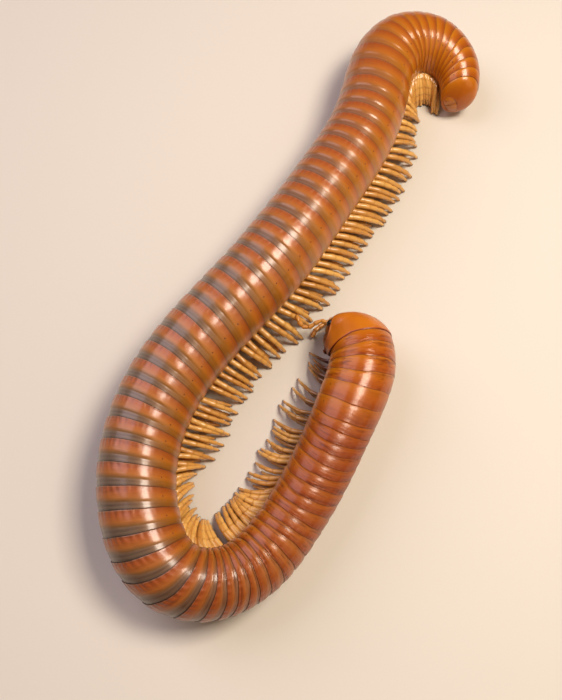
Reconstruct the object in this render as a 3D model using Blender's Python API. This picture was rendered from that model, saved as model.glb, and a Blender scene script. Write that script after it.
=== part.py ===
"""Giant millipede, still and life-size, lying half curled on a flat floor and resting on its feet.

Metres, +Z up, the floor is z = 0. The bend of the body is at -Y and the tail at +Y. The head lies
on the +X arm of the curl, tucked down under the collum. The belly is turned to the inside of the
curl, so that the legs of the animal's left side reach into it.
"""

import math
from collections import namedtuple

import bmesh
import bpy
from mathutils import Vector

MM = 0.001
UP = Vector((0, 0, 1))

# The body's centre line on the floor, head end first, in mm and degrees
LINE_START = (6.72, -7.28)
LINE_HEADING = -62.5
LINE_LENGTH = 184.0
LINE_STEP = 0.2
# Distance along the line, and its turn there in degrees per mm, minus being clockwise
TURNS = (
    (0, -3.1), (6, -5.9), (14, -0.1), (36, -1.0), (44, -4.4), (50, -6.3), (56, -6.8),
    (64, -2.1), (72, -2.3), (90, -1.2), (110, 0.7), (130, -0.1), (142, 1.6), (150, 0.8),
    (156, -4.0), (162, -8.4), (168, -8.4), (174, -8.3), (181, -3.3),
)
# Distance, and the body's diameter in mm
WIDTHS = (
    (0, 8.4), (1.6, 9.0), (4, 10.0), (8, 10.5), (14, 10.3), (20, 9.8), (34, 9.4), (44, 9.6),
    (52, 10.5), (62, 11.5), (84, 12.2), (115, 12.6), (125, 12.2), (150, 11.9), (162, 11.6),
    (168, 10.4), (172, 8.9), (176, 7.5), (180, 6.0), (184, 4.4),
)
# Distance, and the roll of the belly towards the inside of the curl in degrees
ROLLS = ((0, 40), (150, 40), (166, 60), (184, 60))
BELLY_CLEARANCE = 1.6

# Rings of the trunk: the first and last, where the first begins, and the length that each shows
FIRST_RING = 2
LAST_RING = 76
FIRST_SEAM = 3.3
PITCHES = (
    (2, 2.3), (4, 2.3), (5, 2.5), (6, 3.0), (7, 2.95), (8, 1.7), (13, 1.8), (16, 1.55), (21, 1.4),
    (24, 1.2), (26, 1.45), (27, 1.75), (28, 2.35), (29, 3.0), (30, 3.25), (32, 3.4), (34, 3.2),
    (38, 2.8), (41, 2.8), (42, 3.05), (46, 2.9), (48, 2.75), (50, 3.0), (52, 2.95), (53, 2.75),
    (59, 2.65), (60, 2.8), (61, 3.2), (62, 3.55), (63, 3.4), (64, 2.8), (65, 2.2), (67, 1.65),
    (70, 1.5), (76, 1.4),
)
# The last ring of each length of the trunk
LENGTH_ENDS = (7, 12, 17, 22, 27, 31, 35, 40, 45, 50, 55, 61, 68, 76)
RING_SIDES = 16
NECK_SCALE = 0.955
BELLY_SCALE = 0.93
GAP = 0.3

# Legs: rings 2 to 4 have one pair each and the later ones two, but the last two rings have none
FIRST_DOUBLE_RING = 5
LAST_LEG_RING = 74
# Where the pairs stand, as shares of a ring's length
SINGLE_PAIR_PLACE = 0.85
PAIR_PLACES = (0.3, 0.8)
LEG_THICKNESS = (0.46, 0.44, 0.40, 0.33, 0.22)
LEG_SIDES = 3
# A leg is left out where its root, bends or tip would stand nearer to the last one's, in mm
LEG_ROOM = (0.75, 1.1, 1.1, 1.1)
# and where it would stand nearer than this to the end of its length of the trunk
EDGE_ROOM = 0.4
# The roots: degrees from the belly's middle, and depths as shares of the body's radius
LEG_ROOT_ANGLE = 9
LEG_ROOT_DEPTHS = (0.62, 0.97)
# Bends of the inner legs: shares of the way out, of the root's height and of the bow to the tail
LEG_BOW = 0.5
SPREAD_BENDS = ((0.42, 0.92, 1.0), (0.82, 0.48, 0.6))
# Bends and tip of the outer legs, folded under the body: shares of its radius, heights in mm
FOLDED_BENDS = ((0.12, 0.95), (-0.35, 0.85), (-0.6, 0.0))
# Distance along the line, and how far the inner legs' tips stand inwards from it in mm
TIPS_INWARD = (
    (0, 7.5), (8, 8.3), (13, 9.3), (16, 10.5), (24, 10.3), (32, 9.7), (40, 10.3), (48, 10.3),
    (54, 9.7), (58, 8.8), (65, 7.7), (69, 7.6), (72, 9.0), (76, 10.2), (82, 11.2), (88, 10.8),
    (96, 10.0), (104, 10.6), (112, 10.3), (140, 10.3), (146, 9.2), (156, 7.8), (164, 8.4),
    (168, 7.2), (172, 5.9), (176, 5.0),
)
# Distance, and how far those tips are swept to the tail in mm, minus being to the head
TIPS_SWEPT = (
    (4, 0.2), (8, -2.2), (13, -2.5), (16, -1.0), (22, 0.2), (26, 1.0), (30, 3.2), (34, 0.6),
    (38, -1.7), (41, -1.5), (44, 0.8), (50, 1.4), (55, 2.6), (60, 3.2), (66, 3.1), (69, 2.0),
    (73, 1.2), (77, 0.5), (82, 1.1), (88, 1.5), (96, 1.1), (102, 0.6), (107, 1.7), (111, 3.0),
    (128, 3.8), (134, 3.1), (139, 2.0), (143, 3.6), (147, 2.3), (152, 0.0), (156, -3.0),
    (160, -2.0), (164, 0.0), (168, 2.4), (172, 3.6), (176, 4.0),
)

# Head and collum: sizes in mm, and how far the face is nodded down
HEAD_NOD = 38
HEAD_HALF_WIDTH = 3.4
HEAD_HALF_HEIGHT = 3.1
HEAD_HALF_DEPTH = 2.5
HEAD_DOWN = 1.8
# Places and half sizes on the head, along the front, the mouth and the side
EYE_PLACE = (0.8, -1.3, 2.45)
EYE_SIZES = (0.75, 0.95, 0.6)
JAW_PLACE = (-0.3, 1.4, 2.45)
JAW_SIZES = (1.6, 1.8, 1.05)
CHIN_PLACE = (-1.3, 1.4, 0.0)
CHIN_SIZES = (0.9, 1.7, 1.4)
# Distance along the line, and the scale of the body's width there
COLLUM_ROWS = (
    (3.0, 1.0), (1.9, 0.98), (0.7, 0.91), (-0.3, 0.80), (-1.1, 0.65), (-1.75, 0.45), (-2.1, 0.25),
)
COLLUM_TIP = -2.2
# How far its front leans to the inside of the curl, how low its side lobes reach towards the
# belly, and how much they spread over the cheeks, all as shares of the body's radius
COLLUM_LEAN = 0.68
COLLUM_LOWEST = 0.8
COLLUM_FLARE = 0.4

# Antennae: the place of the root on the head, and the half thickness from joint to joint
ANTENNA_PLACE = (2.55, -0.85, 1.6)
ANTENNA_THICKNESS = (0.30, 0.33, 0.34, 0.35, 0.36, 0.38, 0.36, 0.25)
ANTENNA_LENGTH = 6.6
ANTENNA_SIDES = 6
# Each joint's heading: shares of the face's front, its left, the curl's inside, the tail and up
LEFT_ANTENNA = (
    (1.0, 0.6, 0.0, 0.0, 0.0), (0.2, 0.0, 1.0, 0.0, -0.3), (0.0, 0.0, 1.0, 0.0, -0.5),
    (0.0, 0.0, 1.0, -0.5, -0.4), (0.0, 0.0, 0.4, -1.0, -0.2), (0.0, 0.0, 0.0, -1.0, 0.0),
    (0.0, 0.0, -0.2, -1.0, 0.0),
)
RIGHT_ANTENNA = (
    (1.0, -0.3, 0.0, 0.0, 0.0), (0.3, 0.0, 0.6, -0.2, -0.6), (0.0, 0.0, 1.0, 0.0, -0.4),
    (0.0, 0.0, 1.0, 0.0, -0.15), (0.0, 0.0, 1.0, 0.2, 0.0), (0.0, 0.0, 1.0, 0.5, 0.0),
    (0.0, 0.0, 1.0, 0.8, 0.0),
)

# The end of the tail: distances along the line and scales of the body's width, then the valves
TAIL_ROWS = ((0.3, 0.97), (0.8, 1.0), (1.2, 0.96), (1.5, 0.88))
VALVE_START = 1.8
VALVE_LENGTH = 1.0
VALVE_ROWS = ((0.0, 0.80), (0.5, 0.72), (0.85, 0.42))
VALVE_TIP_ASIDE = 0.35
VALVE_SIDES = 8

# Colours of the parts, as linear red, green and blue
RING_COLOUR = (0.47, 0.12, 0.015)
COLLUM_COLOUR = (0.6, 0.15, 0.01)
HEAD_COLOUR = (0.35, 0.08, 0.015)
EYE_COLOUR = (0.01, 0.008, 0.006)
JAW_COLOUR = (0.3, 0.07, 0.015)
CHIN_COLOUR = (0.4, 0.12, 0.02)
ANTENNA_COLOUR = (0.5, 0.2, 0.05)
TAIL_COLOUR = (0.5, 0.13, 0.012)

Station = namedtuple("Station", "centre tail belly left inner radius")


def between(table, distance):
    """Read a table of (distance, value) rows, in straight lines between its rows."""
    if distance <= table[0][0]:
        return table[0][1]
    for (at_a, value_a), (at_b, value_b) in zip(table, table[1:]):
        if distance <= at_b:
            return value_a + (value_b - value_a) * (distance - at_a) / (at_b - at_a)
    return table[-1][1]


def lay_line():
    """Follow the turns from the head to the tail and note x, y and heading at each step."""
    x, y = LINE_START
    heading = math.radians(LINE_HEADING)
    points = []
    for number in range(int(LINE_LENGTH / LINE_STEP) + 1):
        points.append((x, y, heading))
        middle = (number + 0.5) * LINE_STEP
        turned = heading + math.radians(between(TURNS, middle)) * LINE_STEP
        x += math.cos((heading + turned) / 2) * LINE_STEP
        y += math.sin((heading + turned) / 2) * LINE_STEP
        heading = turned
    return points


LINE = lay_line()


def station(distance):
    """The body's centre, directions and radius at a distance along its line."""
    place = min(max(distance / LINE_STEP, 0), len(LINE) - 1.001)
    index = int(place)
    part = place - index
    x, y, heading = (a + (b - a) * part for a, b in zip(LINE[index], LINE[index + 1]))
    tail = Vector((math.cos(heading), math.sin(heading), 0))
    inner = Vector((math.sin(heading), -math.cos(heading), 0))
    roll = math.radians(between(ROLLS, distance))
    belly = inner * math.sin(roll) - UP * math.cos(roll)
    left = inner * math.cos(roll) + UP * math.sin(roll)
    radius = between(WIDTHS, distance) / 2
    centre = Vector((x, y, radius + BELLY_CLEARANCE)) + tail * min(distance, 0)
    return Station(centre, tail, belly, left, inner, radius)


def round_loop(at, scale, lowest=BELLY_SCALE, flare=0.0):
    """The outline of the body at a station, cut flat along the belly and spread beside it."""
    points = []
    for number in range(RING_SIDES):
        angle = math.tau * number / RING_SIDES
        down = min(math.cos(angle), lowest)
        spoke = at.belly * down + at.left * math.sin(angle)
        if abs(math.sin(angle)) > 0.01:
            spoke += at.left * math.copysign(flare * max(down, 0), math.sin(angle))
        points.append(at.centre + spoke * at.radius * scale)
    return points


def mesh_object(name, points, faces):
    """A closed object from points in mm, with its faces turned outwards."""
    mesh = bpy.data.meshes.new(name)
    mesh.from_pydata([point * MM for point in points], [], faces)
    shape = bmesh.new()
    shape.from_mesh(mesh)
    bmesh.ops.triangulate(shape, faces=shape.faces)
    bmesh.ops.recalc_face_normals(shape, faces=shape.faces)
    shape.to_mesh(mesh)
    shape.free()
    body = bpy.data.objects.new(name, mesh)
    bpy.context.scene.collection.objects.link(body)
    return body


def skin(name, loops, tips=(None, None)):
    """A closed form through loops of equal number, with a flat cap or a tip at each end."""
    sides = len(loops[0])
    points = [point for loop in loops for point in loop]
    last = len(points) - sides
    faces = []
    for start in range(0, last, sides):
        for side in range(sides):
            following = (side + 1) % sides
            faces.append((start + side, start + following,
                          start + sides + following, start + sides + side))
    for tip, start in zip(tips, (0, last)):
        if tip is None:
            faces.append(tuple(range(start, start + sides)))
            continue
        points.append(tip)
        for side in range(sides):
            faces.append((start + side, start + (side + 1) % sides, len(points) - 1))
    return mesh_object(name, points, faces)


def egg(name, centre, axes, sizes, sides=14, rows=8):
    """A closed egg shape: three directions and the half size along each. The first is its pole."""
    pole, across, other = (axis * size for axis, size in zip(axes, sizes))
    loops = []
    for row in range(1, rows):
        tilt = math.pi * row / rows
        loops.append([
            centre + pole * math.cos(tilt)
            + (across * math.cos(math.tau * side / sides)
               + other * math.sin(math.tau * side / sides)) * math.sin(tilt)
            for side in range(sides)
        ])
    return skin(name, loops, (centre + pole, centre - pole))


def boolean(body, operation, tool=None, tools=None):
    """Join a body with other closed objects, or cut it by them, and remove those objects."""
    step = body.modifiers.new(operation, "BOOLEAN")
    step.operation = operation
    step.solver = "EXACT"
    if tools:
        step.operand_type = "COLLECTION"
        step.collection = tools
    else:
        step.object = tool
    seen = body.evaluated_get(bpy.context.evaluated_depsgraph_get())
    joined = bpy.data.meshes.new_from_object(seen)
    body.modifiers.remove(step)
    body.data = joined
    for spent in list(tools.objects) if tools else [tool]:
        bpy.data.objects.remove(spent, do_unlink=True)
    if tools:
        bpy.data.collections.remove(tools)
    keep_largest(body)


def keep_largest(body):
    """Drop every closed surface of an object but the one with the most faces."""
    shape = bmesh.new()
    shape.from_mesh(body.data)
    bmesh.ops.remove_doubles(shape, verts=shape.verts, dist=0.000002)
    left = set(shape.faces)
    groups = []
    while left:
        queue = [left.pop()]
        group = set(queue)
        while queue:
            for edge in queue.pop().edges:
                for face in edge.link_faces:
                    if face in left:
                        left.remove(face)
                        group.add(face)
                        queue.append(face)
        groups.append(group)
    largest = max(groups, key=len)
    spare = [face for face in shape.faces if face not in largest]
    bmesh.ops.delete(shape, geom=spare, context="FACES")
    bmesh.ops.triangulate(shape, faces=shape.faces)
    shape.to_mesh(body.data)
    shape.free()


def paint(body, name, colour, roughness):
    """Give an object a material of its own."""
    material = bpy.data.materials.new(name)
    material.use_nodes = True
    shader = material.node_tree.nodes["Principled BSDF"]
    shader.inputs["Base Color"].default_value = (*colour, 1)
    shader.inputs["Roughness"].default_value = roughness
    shader.inputs["Metallic"].default_value = 0
    body.data.materials.clear()
    body.data.materials.append(material)
    body.data.shade_smooth()
    body.data.set_sharp_from_angle(angle=math.radians(35))


def seams():
    """Where each ring ends along the line, by ring number, with the collum as number 1."""
    ends = {FIRST_RING - 1: FIRST_SEAM}
    for ring in range(FIRST_RING, LAST_RING + 1):
        ends[ring] = ends[ring - 1] + between(PITCHES, ring)
    return ends


SEAMS = seams()


def leg_stations(ring):
    """Where the leg pairs of a ring stand along the line."""
    start, end = SEAMS[ring - 1], SEAMS[ring]
    if ring > LAST_LEG_RING:
        return []
    if ring < FIRST_DOUBLE_RING:
        return [start + (end - start) * SINGLE_PAIR_PLACE]
    return [start + (end - start) * share for share in PAIR_PLACES]


def leg_points(distance, side):
    """The bent line of one leg in mm, from inside the body to its tip on the floor."""
    at = station(distance)
    angle = math.radians(LEG_ROOT_ANGLE) * side
    spoke = at.belly * math.cos(angle) + at.left * math.sin(angle)
    sunk, root = (at.centre + spoke * at.radius * depth for depth in LEG_ROOT_DEPTHS)
    floor = Vector((at.centre.x, at.centre.y, 0))
    if side < 0:
        folds = [floor + at.inner * at.radius * run + UP * up for run, up in FOLDED_BENDS]
        return [sunk, root, *folds]
    base = Vector((root.x, root.y, 0))
    tip = floor + at.inner * between(TIPS_INWARD, distance)
    tip += at.tail * between(TIPS_SWEPT, distance)
    bends = [
        base.lerp(tip, share) + UP * root.z * height + at.tail * LEG_BOW * bow
        for share, height, bow in SPREAD_BENDS
    ]
    return [sunk, root, *bends, tip]


def leg(name, points):
    """A tapered, bent leg that ends in a small flat on the floor."""
    out = points[-1] - points[1]
    out.z = 0
    out.normalize()
    across = UP.cross(out)
    loops = []
    for number, (point, thickness) in enumerate(zip(points, LEG_THICKNESS)):
        ahead = points[min(number + 1, len(points) - 1)] - points[max(number - 1, 0)]
        ahead -= across * ahead.dot(across)
        if number == len(points) - 1:
            ahead = -UP
        above = ahead.normalized().cross(across)
        loops.append([
            point + (above * math.sin(turn) + across * math.cos(turn)) * thickness
            for turn in (math.tau * (side / LEG_SIDES + 0.25) for side in range(LEG_SIDES))
        ])
    return skin(name, loops)


def crowded(points, others):
    """True if two legs' roots, bends or tips are nearer to each other than legs need."""
    return any((a - b).length < room for a, b, room in zip(points[1:], others[1:], LEG_ROOM))


def crosses_end(points, first, last):
    """True if a leg's root or knee reaches past the ends of its length of the trunk."""
    front, back = station(SEAMS[first - 1]), station(SEAMS[last])
    return any(
        (point - front.centre).dot(front.tail) < EDGE_ROOM
        or (back.centre - point).dot(back.tail) < EDGE_ROOM
        for point in points[:3]
    )


def make_trunk():
    """The rings of the trunk in lengths, each with its legs fused to it."""
    last_leg = {1: None, -1: None}
    first = FIRST_RING
    for number, last in enumerate(LENGTH_ENDS, 1):
        name = f"trunk_{number:02d}"
        loops = []
        for ring in range(first, last + 1):
            front, back = SEAMS[ring - 1], SEAMS[ring]
            if ring == first:
                front += GAP / 2
            if ring == last:
                back -= GAP / 2
            loops.append(round_loop(station(front), NECK_SCALE))
            loops.append(round_loop(station(back), 1.0))
        body = skin(name, loops)
        legs = bpy.data.collections.new(name + "_legs")
        bpy.context.scene.collection.children.link(legs)
        for ring in range(first, last + 1):
            for distance in leg_stations(ring):
                for side in (1, -1):
                    points = leg_points(distance, side)
                    if last_leg[side] and crowded(points, last_leg[side]):
                        continue
                    if crosses_end(points, first, last):
                        continue
                    last_leg[side] = points
                    limb = leg(f"{name}_leg", points)
                    bpy.context.scene.collection.objects.unlink(limb)
                    legs.objects.link(limb)
        boolean(body, "UNION", tools=legs)
        if first == FIRST_RING:
            cut_for_head(body)
        paint(body, name + "_shell", RING_COLOUR, 0.3)
        first = last + 1


def head_axes():
    """The head's centre and its directions to the front, to the mouth and to its left."""
    at = station(0)
    nod = math.radians(HEAD_NOD)
    ahead = -at.tail
    front = ahead * math.cos(nod) + at.belly * math.sin(nod)
    mouth = at.belly * math.cos(nod) - ahead * math.sin(nod)
    centre = at.centre + at.belly * HEAD_DOWN
    return centre, front, mouth, at.left


def head_form(name, extra=0.0):
    """The head capsule, or a form that is larger by an even margin."""
    centre, front, mouth, left = head_axes()
    sizes = (HEAD_HALF_HEIGHT + extra, HEAD_HALF_WIDTH + extra, HEAD_HALF_DEPTH + extra)
    return egg(name, centre, (mouth, left, front), sizes, 16, 10)


def side_form(name, side, place, sizes, extra=0.0):
    """An egg on the head, or a form that is larger by an even margin."""
    centre, front, mouth, left = head_axes()
    across = left * side
    middle = centre + front * place[0] + mouth * place[1] + across * place[2]
    grown = tuple(size + extra for size in sizes)
    return egg(name, middle, (front, mouth, across), grown, 10, 6)


def cut_for_head(body):
    """Hollow an object so that the head, its cheeks and its chin fit into it with the gap."""
    boolean(body, "DIFFERENCE", head_form("cut", GAP))
    boolean(body, "DIFFERENCE", side_form("cut", 1, CHIN_PLACE, CHIN_SIZES, GAP))
    for side in (1, -1):
        boolean(body, "DIFFERENCE", side_form("cut", side, JAW_PLACE, JAW_SIZES, GAP))
        boolean(body, "DIFFERENCE", side_form("cut", side, EYE_PLACE, EYE_SIZES, GAP))


def antenna_points(side):
    """The antenna's line: out of the face, then bent to the inside of the curl."""
    centre, front, mouth, left = head_axes()
    at = station(0)
    start = centre + front * ANTENNA_PLACE[0] + mouth * ANTENNA_PLACE[1]
    start += left * side * ANTENNA_PLACE[2]
    step = ANTENNA_LENGTH / (len(ANTENNA_THICKNESS) - 1)
    points = [start]
    for shares in LEFT_ANTENNA if side > 0 else RIGHT_ANTENNA:
        heading = Vector()
        for share, direction in zip(shares, (front, left, at.inner, at.tail, UP)):
            heading += direction * share
        points.append(points[-1] + heading.normalized() * step)
    return points


def make_antenna(side, word):
    """A feeler of round joints that are a little wider towards their ends."""
    points = antenna_points(side)
    loops = []
    for number, (point, thickness) in enumerate(zip(points, ANTENNA_THICKNESS)):
        ahead = points[min(number + 1, len(points) - 1)] - points[max(number - 1, 0)]
        ahead.normalize()
        across = ahead.cross(UP).normalized()
        above = across.cross(ahead)
        turns = [math.tau * edge / ANTENNA_SIDES for edge in range(ANTENNA_SIDES)]
        loops.append([point + (across * math.cos(turn) + above * math.sin(turn)) * thickness
                      for turn in turns])
    body = skin("antenna_" + word, loops)
    paint(body, "antenna_" + word + "_shell", ANTENNA_COLOUR, 0.35)


def make_head():
    """The head capsule with its eyes, cheeks and chin plate let into it."""
    body = head_form("head", 0.0)
    for side, word in ((1, "left"), (-1, "right")):
        for kind, place, sizes, colour in (
            ("eye_", EYE_PLACE, EYE_SIZES, EYE_COLOUR),
            ("jaw_", JAW_PLACE, JAW_SIZES, JAW_COLOUR),
        ):
            boolean(body, "DIFFERENCE", side_form("cut", side, place, sizes, GAP))
            piece = side_form(kind + word, side, place, sizes)
            paint(piece, kind + word + "_shell", colour, 0.3)
        make_antenna(side, word)
    boolean(body, "DIFFERENCE", side_form("cut", 1, CHIN_PLACE, CHIN_SIZES, GAP))
    chin = side_form("chin_plate", 1, CHIN_PLACE, CHIN_SIZES)
    paint(chin, "chin_plate_shell", CHIN_COLOUR, 0.35)
    paint(body, "head_shell", HEAD_COLOUR, 0.3)


def make_collum():
    """The smooth shield behind the head, domed at the front and hollowed for the head."""
    loops = []
    for row, scale in COLLUM_ROWS:
        at = station(row)
        lean = at.inner * at.radius * (1 - scale) * COLLUM_LEAN
        loop = round_loop(at, scale, COLLUM_LOWEST, COLLUM_FLARE)
        loops.append([point + lean for point in loop])
    at = station(COLLUM_TIP)
    body = skin("collum", loops, (None, at.centre + at.inner * at.radius * COLLUM_LEAN))
    cut_for_head(body)
    paint(body, "collum_shell", COLLUM_COLOUR, 0.25)


def make_tail():
    """The last ring, and the two valves that close the tail with a slit between them."""
    end = SEAMS[LAST_RING]
    loops = [round_loop(station(end + row), scale) for row, scale in TAIL_ROWS]
    body = skin("tail_ring", loops)
    paint(body, "tail_ring_shell", TAIL_COLOUR, 0.3)
    at = station(end + VALVE_START)
    for side, word in ((1, "left"), (-1, "right")):
        outward = at.left * side
        loops = []
        for row, scale in VALVE_ROWS:
            start = at.centre + at.tail * VALVE_LENGTH * row + outward * GAP / 2
            turns = [math.pi * number / VALVE_SIDES for number in range(VALVE_SIDES + 1)]
            loops.append([start + (at.belly * math.cos(turn) + outward * math.sin(turn))
                          * at.radius * scale for turn in turns])
        tip = at.centre + at.tail * VALVE_LENGTH + outward * VALVE_TIP_ASIDE
        valve = skin("tail_valve_" + word, loops, (None, tip))
        paint(valve, "tail_valve_" + word + "_shell", TAIL_COLOUR, 0.35)


def main():
    for old in list(bpy.data.objects):
        bpy.data.objects.remove(old, do_unlink=True)
    make_head()
    make_collum()
    make_trunk()
    make_tail()


main()
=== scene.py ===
"""Giant millipede, still and life-size, dressed in glossy chitin on a pale studio floor.

The body follows one line on the floor from the head to the tail. Tables along that line are in
mm and degrees, meshes are in metres. The belly is rolled to the inside of the curl, so the legs
of both sides come out there, and those of its right side lie a little behind the others.
"""

import math
import random
from collections import namedtuple
from functools import partial

import bpy
import numpy as np
from bpy.props import FloatProperty, FloatVectorProperty, IntProperty, PointerProperty
from bpy.types import Operator, Panel, PropertyGroup
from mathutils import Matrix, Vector


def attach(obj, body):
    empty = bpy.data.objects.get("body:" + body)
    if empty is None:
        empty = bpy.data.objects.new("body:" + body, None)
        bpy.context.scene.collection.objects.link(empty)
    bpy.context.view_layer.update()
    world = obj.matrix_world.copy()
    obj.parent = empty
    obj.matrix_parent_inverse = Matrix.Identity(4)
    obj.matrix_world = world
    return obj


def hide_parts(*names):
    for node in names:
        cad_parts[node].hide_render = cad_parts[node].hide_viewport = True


bl_info = {
    "name": "Giant millipede",
    "version": (1, 0, 0),
    "blender": (4, 5, 0),
    "location": "View3D > Sidebar > Millipede",
    "description": "Models a still, life-size giant millipede round its solid frame",
    "category": "Add Mesh",
}

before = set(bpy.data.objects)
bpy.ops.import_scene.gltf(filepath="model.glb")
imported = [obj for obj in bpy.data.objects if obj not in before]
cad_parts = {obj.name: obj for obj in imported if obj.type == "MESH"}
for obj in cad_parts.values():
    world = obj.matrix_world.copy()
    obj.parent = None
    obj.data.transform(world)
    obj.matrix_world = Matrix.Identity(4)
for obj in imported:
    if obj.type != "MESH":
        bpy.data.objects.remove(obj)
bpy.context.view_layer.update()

MM = 0.001
# Points closer than this many metres are merged
MERGE_DISTANCE = 0.000004
UP = np.array((0.0, 0.0, 1.0))

# The body's centre line on the floor, head end first, in mm and degrees
LINE_START = (6.72, -7.28)
LINE_HEADING = -62.5
LINE_LENGTH = 184.0
LINE_STEP = 0.2
# How many of its steps the widths and rolls are averaged over
BLUR_STEPS = 17
# Distance along the line, and its turn there in degrees per mm, minus being clockwise
TURNS = (
    (0, -3.1), (6, -5.9), (14, -0.1), (36, -1.0), (44, -4.4), (50, -6.3), (56, -6.8),
    (64, -2.1), (72, -2.3), (90, -1.2), (110, 0.7), (130, -0.1), (142, 1.6), (150, 0.8),
    (156, -4.0), (162, -8.4), (168, -8.4), (174, -8.3), (181, -3.3),
)
# Distance, and the body's diameter in mm
WIDTHS = (
    (0, 8.4), (1.6, 9.0), (4, 10.0), (8, 10.5), (14, 10.3), (20, 9.8), (34, 9.4), (44, 9.6),
    (52, 10.5), (62, 11.5), (84, 12.2), (115, 12.6), (125, 12.2), (150, 11.9), (162, 11.6),
    (168, 10.4), (172, 8.9), (176, 7.5), (180, 6.0), (184, 4.4),
)
# Distance, and the roll of the belly towards the inside of the curl in degrees
ROLLS = ((0, 40), (150, 40), (166, 60), (184, 60))

# Rings of the trunk: the first and last, where the first begins, and the length that each shows
FIRST_RING = 2
LAST_RING = 76
FIRST_SEAM = 3.3
PITCHES = (
    (2, 2.3), (4, 2.3), (5, 2.5), (6, 3.0), (7, 2.95), (8, 1.7), (13, 1.8), (16, 1.55), (21, 1.4),
    (24, 1.2), (26, 1.45), (27, 1.75), (28, 2.35), (29, 3.0), (30, 3.25), (32, 3.4), (34, 3.2),
    (38, 2.8), (41, 2.8), (42, 3.05), (46, 2.9), (48, 2.75), (50, 3.0), (52, 2.95), (53, 2.75),
    (59, 2.65), (60, 2.8), (61, 3.2), (62, 3.55), (63, 3.4), (64, 2.8), (65, 2.2), (67, 1.65),
    (70, 1.5), (76, 1.4),
)
# The last ring of each length of the trunk
LENGTH_ENDS = (7, 12, 17, 22, 27, 31, 35, 40, 45, 50, 55, 61, 68, 76)
# Distance, and how far the rings lean there: what their inner side and their top are turned to
# the tail by, in mm
LEANS_IN = (
    (0, -0.4), (3.3, -0.4), (5.6, 0.4), (8, 0.8), (10, 0.8), (12.7, 0.5), (15.7, 0.5), (19, 0.0),
    (36, 0.1), (40, -0.4), (43, -0.6), (48, -1.3), (52, -2.3), (55, -2.2), (58, -1.5), (62, -0.9),
    (70, -0.8), (75, -0.5), (95, -0.6), (106, -0.3), (140, -0.1), (147, -0.5), (152, -0.9),
    (156, -0.3), (160, 0.3), (164, 1.0), (168, 1.6), (172, 1.6), (176, 1.0), (184, 0.4),
)
LEANS_UP = (
    (0, -0.3), (3.3, -0.35), (8, 0.0), (10, 0.6), (12.7, 1.4), (15.7, 1.8), (19, 2.4), (24, 2.7),
    (28, 2.7), (33, 1.4), (37, 0.3), (40, -0.9), (43, -1.5), (52, -1.5), (58, -1.1), (65, -0.6),
    (70, -0.1), (80, 0.3), (95, 0.2), (106, 0.0), (154, 0.0), (160, -0.5), (164, -1.2),
    (168, -1.8), (172, -1.8), (176, -1.2), (184, -0.5),
)
# Ring, and how much of it is the front part that slides under the ring ahead
NECK_SHARES = (
    (2, 0.05), (7, 0.07), (12, 0.10), (20, 0.16), (25, 0.24), (28, 0.31), (31, 0.33), (57, 0.33),
    (62, 0.33), (65, 0.28), (70, 0.18), (76, 0.10),
)
# Ring, and how grey its front part is, from 0 to 1
GREYS = (
    (2, 0.0), (10, 0.05), (18, 0.2), (24, 0.5), (28, 0.9), (31, 1.0), (44, 1.0), (50, 0.85),
    (56, 0.7), (61, 0.6), (64, 0.35), (66, 0.15), (70, 0.05), (76, 0.0),
)
# Ring, and how dark it is overall, from 0 to 1
DARKS = (
    (2, 0.1), (5, 0.15), (7, 0.45), (9, 0.85), (16, 0.7), (20, 0.5), (28, 0.6), (34, 0.4),
    (56, 0.25), (64, 0.25), (68, 0.2), (76, 0.15),
)
# Ring, and how creased it is, with 1 as usual; ring, and how yellow it is, from 0 to 1
CREASES = (
    (2, 1.5), (4, 1.5), (5, 0.9), (6, 0.3), (9, 0.8), (25, 0.8), (30, 0.35), (60, 0.15),
    (76, 0.1),
)
WARMTHS = ((2, 0.7), (6, 0.7), (9, 0.9), (24, 0.8), (30, 0.0), (58, 0.0), (64, 0.8), (76, 1.0))
# Ring, and how strong its relief is
RELIEFS = ((2, 0.35), (7, 0.4), (9, 0.7), (24, 0.8), (30, 1.0), (60, 1.0), (68, 0.5), (76, 0.3))
# The first ring with gland pores, and the length that hides them
FIRST_PORE_RING = 6
NO_PORE = 100
# What ring numbers, and ring lengths in mm, are divided by where a mesh keeps them
RING_SCALE = 80
PITCH_SCALE = 4.0
# Ring, and how far the seam behind it wavers along the body in mm
WAVERS = ((1, 0.08), (2, 0.13), (5, 0.13), (9, 0.09), (26, 0.08), (32, 0.04), (76, 0.02))
# The waves that this adds up: how many go round, their strength, and what shifts their phase
SEAM_WAVES = ((2, 1.0, 2.4), (3, 0.6, 5.04), (7, 0.4, 8.88))
# Ring, and how much it is rounded from front to rear, as a share of its radius
BULGES = ((2, 0.002), (6, 0.004), (9, 0.014), (24, 0.016), (30, 0.004), (60, 0.003), (66, 0.008))
# One ring's outline from front to rear: places over its length and shares of its radius.
# Below 0 lies under the ring ahead, and what is past 1 folds back under this ring's own rim.
# The front part ends at NECK_END, and TUCK past either end stands for the whole fold there.
NECK_END = 0.33
TUCK = 0.1
# How far rings close up at most inside a bend, and the bounds of their front part's share
CLOSEST = 0.05
NECK_BOUNDS = (0.02, 0.6)
RING_OUTLINE = (
    (-0.10, 0.966), (-0.04, 0.974), (0.0, 0.979), (0.045, 0.981), (0.08, 0.9785), (0.115, 0.982),
    (0.15, 0.9795), (0.185, 0.983), (0.22, 0.9805), (0.255, 0.984), (0.29, 0.982), (0.32, 0.983),
    (0.35, 0.987), (0.39, 0.993), (0.45, 0.9975), (0.54, 0.9995), (0.68, 1.0), (0.82, 0.9998),
    (0.89, 0.999), (0.93, 0.9998), (0.96, 1.002), (0.985, 1.001), (1.0, 0.996), (1.03, 0.985),
    (1.06, 0.973), (1.10, 0.963),
)

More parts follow.
